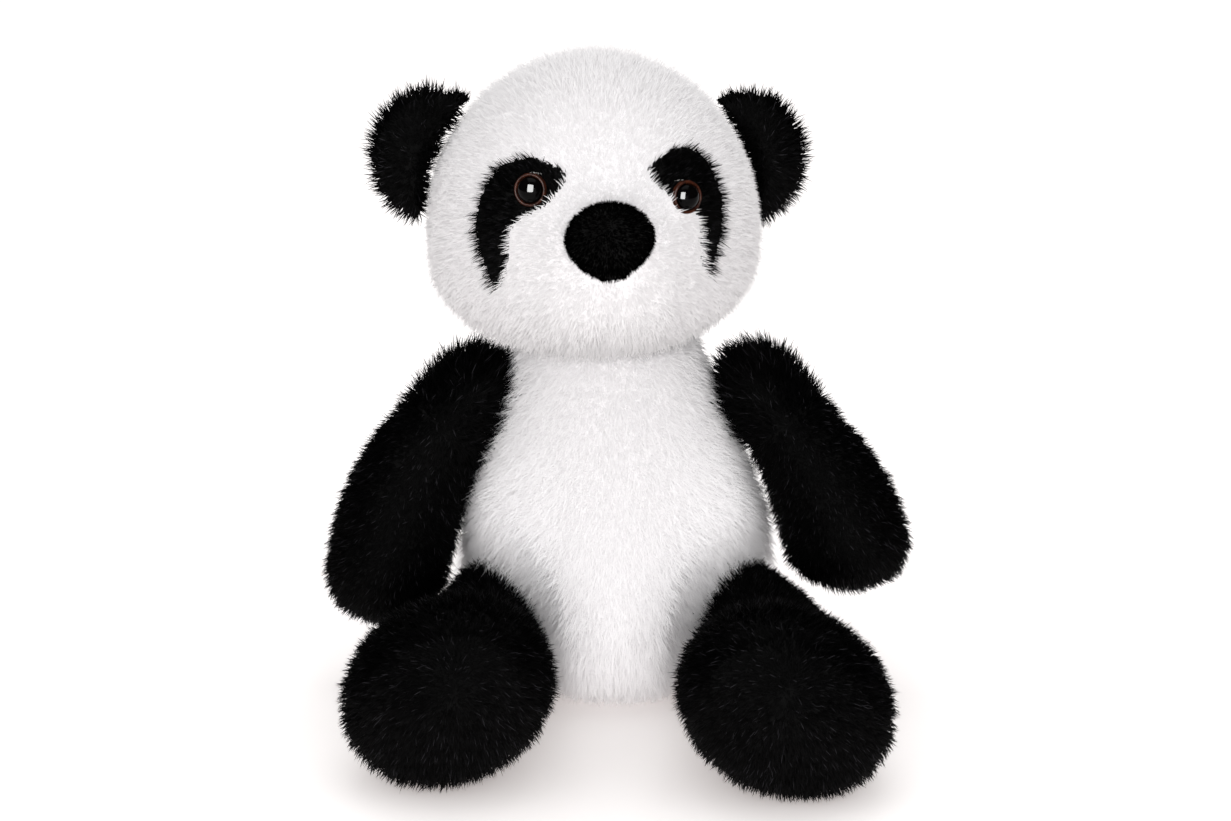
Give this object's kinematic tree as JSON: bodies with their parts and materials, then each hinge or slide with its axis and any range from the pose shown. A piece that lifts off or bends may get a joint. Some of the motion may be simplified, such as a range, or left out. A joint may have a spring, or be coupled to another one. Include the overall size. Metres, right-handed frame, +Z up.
{
  "type": "plush panda",
  "caption": "Sitting plush panda: stuffed white body and head, black limbs, ears and eye patches, plastic safety eyes, a velour nose, and limbs and head that flex at their sewn seams.",
  "frame": {"origin": "middle of the flat seat, on the surface that the toy sits on", "axes": "+Z up, the toy faces -Y, its limbs named left at -X and right at +X as seen from the front"},
  "size_m": [0.2679, 0.2211, 0.296],
  "materials": {
    "white_fur": "matte",
    "black_fur": "matte",
    "stuffing": "matte",
    "nose_velour": "matte",
    "eye_black": "polished",
    "eye_brown": "polished",
    "washer_plastic": "satin",
    "white_thread": "matte",
    "black_thread": "matte"
  },
  "bodies": {
    "torso": {"torso_front_panel": "white_fur", "torso_back_panel_left": "white_fur", "torso_back_panel_right": "white_fur", "shoulder_yoke": "black_fur", "torso_stuffing": "stuffing", "closing_seam_thread": "white_thread"},
    "neck_core": {"neck_stuffing": "stuffing"},
    "neck_seam": {"neck_seam_thread": "white_thread"},
    "head": {"back_of_head_panel": "white_fur", "head_stuffing": "stuffing", "nose_pad": "nose_velour", "muzzle_seam_thread": "white_thread", "face_panel_left": "white_fur", "eye_patch_left": "black_fur", "eye_dome_left": "eye_black", "eye_rim_left": "eye_brown", "eye_lock_washer_left": "washer_plastic", "face_panel_right": "white_fur", "eye_patch_right": "black_fur", "eye_dome_right": "eye_black", "eye_rim_right": "eye_brown", "eye_lock_washer_right": "washer_plastic"},
    "ear_left": {"ear_front_panel_left": "black_fur", "ear_back_panel_left": "black_fur"},
    "shoulder_left": {"shoulder_seam_thread_left": "black_thread"},
    "arm_left": {"arm_left_front_panel": "black_fur", "arm_left_back_panel": "black_fur", "arm_left_stuffing": "stuffing"},
    "hip_left": {"hip_seam_thread_left": "black_thread"},
    "leg_left": {"leg_left_sole_panel": "black_fur", "leg_left_top_panel": "black_fur", "leg_left_under_panel": "black_fur", "leg_left_stuffing": "stuffing"},
    "ear_right": {"ear_front_panel_right": "black_fur", "ear_back_panel_right": "black_fur"},
    "shoulder_right": {"shoulder_seam_thread_right": "black_thread"},
    "arm_right": {"arm_right_front_panel": "black_fur", "arm_right_back_panel": "black_fur", "arm_right_stuffing": "stuffing"},
    "hip_right": {"hip_seam_thread_right": "black_thread"},
    "leg_right": {"leg_right_sole_panel": "black_fur", "leg_right_top_panel": "black_fur", "leg_right_under_panel": "black_fur", "leg_right_stuffing": "stuffing"}
  },
  "joints": [
    {"name": "head_tilt", "type": "hinge", "parent": "torso", "child": "neck_core", "pos_m": [-0.004, 0, 0.163], "axis": [0, 1, 0], "range_deg": [-8, 8], "stiffness_Nm_per_rad": 1.5},
    {"name": "head_turn", "type": "hinge", "parent": "neck_core", "child": "neck_seam", "pos_m": [-0.004, 0, 0.163], "axis": [0, 0, 1], "range_deg": [-25, 25], "stiffness_Nm_per_rad": 0.8},
    {"name": "head_nod", "type": "hinge", "parent": "neck_seam", "child": "head", "pos_m": [-0.004, 0, 0.163], "axis": [1, 0, 0], "range_deg": [-12, 8], "stiffness_Nm_per_rad": 1.5},
    {"name": "ear_left_fold", "type": "hinge", "parent": "head", "child": "ear_left", "pos_m": [-0.08206, 0.00125, 0.239], "axis": [0.4319, 0.053, 0.9003], "range_deg": [-20, 25], "stiffness_Nm_per_rad": 0.05},
    {"name": "ear_right_fold", "type": "hinge", "parent": "head", "child": "ear_right", "pos_m": [0.05889, 0.01856, 0.239], "axis": [0.4319, 0.053, -0.9003], "range_deg": [-20, 25], "stiffness_Nm_per_rad": 0.05},
    {"name": "arm_left_spread", "type": "hinge", "parent": "torso", "child": "shoulder_left", "pos_m": [-0.063, -0.002, 0.139], "axis": [0, 1, 0], "range_deg": [0, 35], "stiffness_Nm_per_rad": 0.6},
    {"name": "arm_left_swing", "type": "hinge", "parent": "shoulder_left", "child": "arm_left", "pos_m": [-0.063, -0.002, 0.139], "axis": [-1, 0, 0], "range_deg": [-25, 80], "stiffness_Nm_per_rad": 0.6},
    {"name": "arm_right_spread", "type": "hinge", "parent": "torso", "child": "shoulder_right", "pos_m": [0.0645, -0.002, 0.141], "axis": [0, -1, 0], "range_deg": [0, 35], "stiffness_Nm_per_rad": 0.6},
    {"name": "arm_right_swing", "type": "hinge", "parent": "shoulder_right", "child": "arm_right", "pos_m": [0.0645, -0.002, 0.141], "axis": [-1, 0, 0], "range_deg": [-25, 80], "stiffness_Nm_per_rad": 0.6},
    {"name": "leg_left_spread", "type": "hinge", "parent": "torso", "child": "hip_left", "pos_m": [-0.0515, -0.018, 0.034], "axis": [0, 0, -1], "range_deg": [0, 8], "stiffness_Nm_per_rad": 1},
    {"name": "leg_left_lift", "type": "hinge", "parent": "hip_left", "child": "leg_left", "pos_m": [-0.0515, -0.018, 0.034], "axis": [-1, 0, 0], "range_deg": [-20, 20], "stiffness_Nm_per_rad": 1},
    {"name": "leg_right_spread", "type": "hinge", "parent": "torso", "child": "hip_right", "pos_m": [0.053, -0.018, 0.034], "axis": [0, 0, 1], "range_deg": [0, 8], "stiffness_Nm_per_rad": 1},
    {"name": "leg_right_lift", "type": "hinge", "parent": "hip_right", "child": "leg_right", "pos_m": [0.053, -0.018, 0.034], "axis": [-1, 0, 0], "range_deg": [-20, 20], "stiffness_Nm_per_rad": 1}
  ]
}
